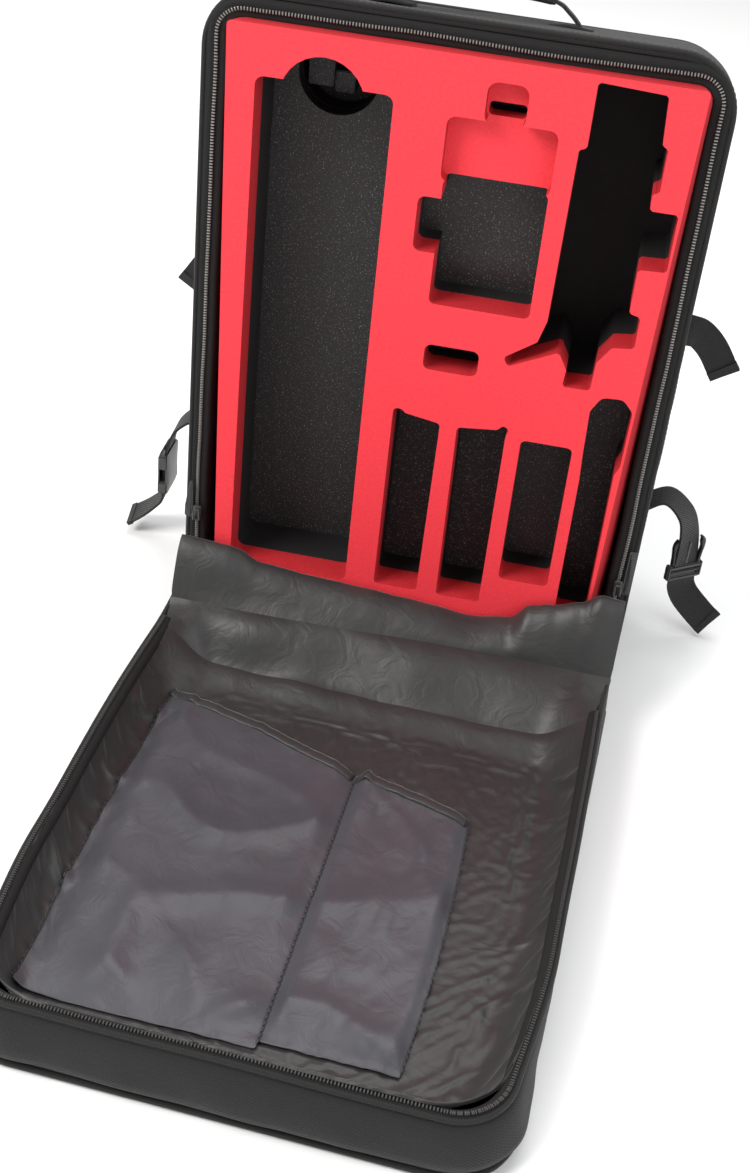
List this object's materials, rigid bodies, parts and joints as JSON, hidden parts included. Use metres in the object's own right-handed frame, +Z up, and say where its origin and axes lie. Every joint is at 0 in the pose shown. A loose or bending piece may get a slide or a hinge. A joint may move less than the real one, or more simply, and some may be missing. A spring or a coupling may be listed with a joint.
{
  "type": "drone carrying case",
  "caption": "Soft backpack case with a fitted foam insert, a front lid that unzips and folds down on a fabric hinge, a top handle, padded shoulder straps and a waist buckle.",
  "frame": {"origin": "on the ground under the middle of the base", "axes": "+Z up; -Y towards the open front and the unfolded lid; +X to the right as seen from the front"},
  "size_m": [0.5158, 0.6916, 0.5181],
  "materials": {
    "shell_fabric": "woven polyester, matte",
    "foam_red": "closed-cell foam, matte",
    "foam_black": "closed-cell foam, matte",
    "lining": "nylon lining, slight sheen",
    "webbing": "woven webbing",
    "zip_tape": "woven tape",
    "zip_teeth": "moulded coil",
    "slider_metal": "plated zinc",
    "plastic": "moulded acetal"
  },
  "bodies": {
    "case": {"left_side_panel": "shell_fabric", "right_side_panel": "shell_fabric", "top_panel": "shell_fabric", "base_panel": "shell_fabric", "base_front_panel": "shell_fabric", "foam_riser": "foam_black", "back_panel": "shell_fabric", "left_back_pad": "shell_fabric", "right_back_pad": "shell_fabric", "lumbar_pad": "shell_fabric", "left_handle_anchor": "shell_fabric", "right_handle_anchor": "shell_fabric", "left_strap_anchor": "shell_fabric", "right_strap_anchor": "shell_fabric", "left_webbing_anchor": "shell_fabric", "right_webbing_anchor": "shell_fabric", "left_waist_anchor": "shell_fabric", "right_waist_anchor": "shell_fabric", "body_zip_tape": "zip_tape", "body_zip_chain": "zip_teeth"},
    "insert": {"foam_top_layer": "foam_red", "foam_middle_layer": "foam_black", "foam_base_layer": "foam_black"},
    "lid": {"lid_front_panel": "shell_fabric", "lid_left_wall": "shell_fabric", "lid_right_wall": "shell_fabric", "lid_top_wall": "shell_fabric", "lid_hinge_wall": "shell_fabric", "lid_zip_tape": "zip_tape", "lid_zip_chain": "zip_teeth", "lid_wide_pocket": "lining", "lid_narrow_pocket": "lining"},
    "left_slider": {"left_zip_slider": "slider_metal"},
    "right_slider": {"right_zip_slider": "slider_metal"},
    "left_puller": {"left_zip_puller": "plastic"},
    "right_puller": {"right_zip_puller": "plastic"},
    "handle": {"top_handle": "shell_fabric"},
    "left_harness": {"left_shoulder_strap": "shell_fabric", "left_ladder_lock": "plastic", "left_strap_tail": "webbing", "left_lower_webbing": "webbing"},
    "right_harness": {"right_shoulder_strap": "shell_fabric", "right_ladder_lock": "plastic", "right_strap_tail": "webbing", "right_lower_webbing": "webbing"},
    "left_waist": {"left_waist_strap": "webbing", "left_waist_tail": "webbing", "left_buckle_socket": "plastic"},
    "right_waist": {"right_waist_strap": "webbing", "right_waist_tail": "webbing", "right_buckle_frame": "plastic"},
    "front_prong": {"buckle_front_prong": "plastic"},
    "back_prong": {"buckle_back_prong": "plastic"}
  },
  "joints": [
    {"name": "insert_slide", "type": "slide", "parent": "case", "child": "insert", "axis": [0, -1, 0], "range_m": [0, 0.12]},
    {"name": "lid_hinge", "type": "hinge", "parent": "case", "child": "lid", "pos_m": [-0.174, -0.075, 0.052], "axis": [0.9993, -0.0262, -0.0262], "range_deg": [-90, 0]},
    {"name": "left_zip", "type": "slide", "parent": "case", "child": "left_slider", "axis": [0, 0, 1], "range_m": [0, 0.34]},
    {"name": "left_puller_flip", "type": "hinge", "parent": "left_slider", "child": "left_puller", "pos_m": [-0.171, -0.0746, 0.102], "axis": [1, 0, 0], "range_deg": [0, 150]},
    {"name": "right_zip", "type": "slide", "parent": "case", "child": "right_slider", "axis": [0, 0, 1], "range_m": [0, 0.34]},
    {"name": "right_puller_flip", "type": "hinge", "parent": "right_slider", "child": "right_puller", "pos_m": [0.171, -0.0746, 0.102], "axis": [1, 0, 0], "range_deg": [0, 150]},
    {"name": "handle_swing", "type": "hinge", "parent": "case", "child": "handle", "pos_m": [0, -0.011, 0.50273], "axis": [1, 0, 0], "range_deg": [-20, 20]},
    {"name": "left_strap_swing", "type": "hinge", "parent": "case", "child": "left_harness", "pos_m": [-0.1065, 0.08275, 0.252], "axis": [0.2722, 0.0172, 0.9621], "range_deg": [-4, 4]},
    {"name": "right_strap_swing", "type": "hinge", "parent": "case", "child": "right_harness", "pos_m": [0.1065, 0.08275, 0.252], "axis": [-0.2722, 0.0172, 0.9621], "range_deg": [-4, 4]},
    {"name": "left_waist_swing", "type": "hinge", "parent": "case", "child": "left_waist", "pos_m": [-0.1785, 0.045, 0.112], "axis": [0, 1, 0], "range_deg": [0, 35]},
    {"name": "right_waist_swing", "type": "hinge", "parent": "case", "child": "right_waist", "pos_m": [0.1785, 0.045, 0.112], "axis": [0, 1, 0], "range_deg": [-35, 0]},
    {"name": "front_prong_flex", "type": "hinge", "parent": "right_waist", "child": "front_prong", "pos_m": [0.21126, 0.03583, 0.0624], "axis": [0.5736, -0.8192, 0], "range_deg": [-6, 0], "stiffness_Nm_per_rad": 0.4},
    {"name": "back_prong_flex", "type": "hinge", "parent": "right_waist", "child": "back_prong", "pos_m": [0.23174, 0.05017, 0.0624], "axis": [0.5736, -0.8192, 0], "range_deg": [0, 6], "stiffness_Nm_per_rad": 0.4}
  ],
  "couplings": [
    {"joint": "back_prong_flex", "follows": "front_prong_flex", "ratio": -1}
  ]
}
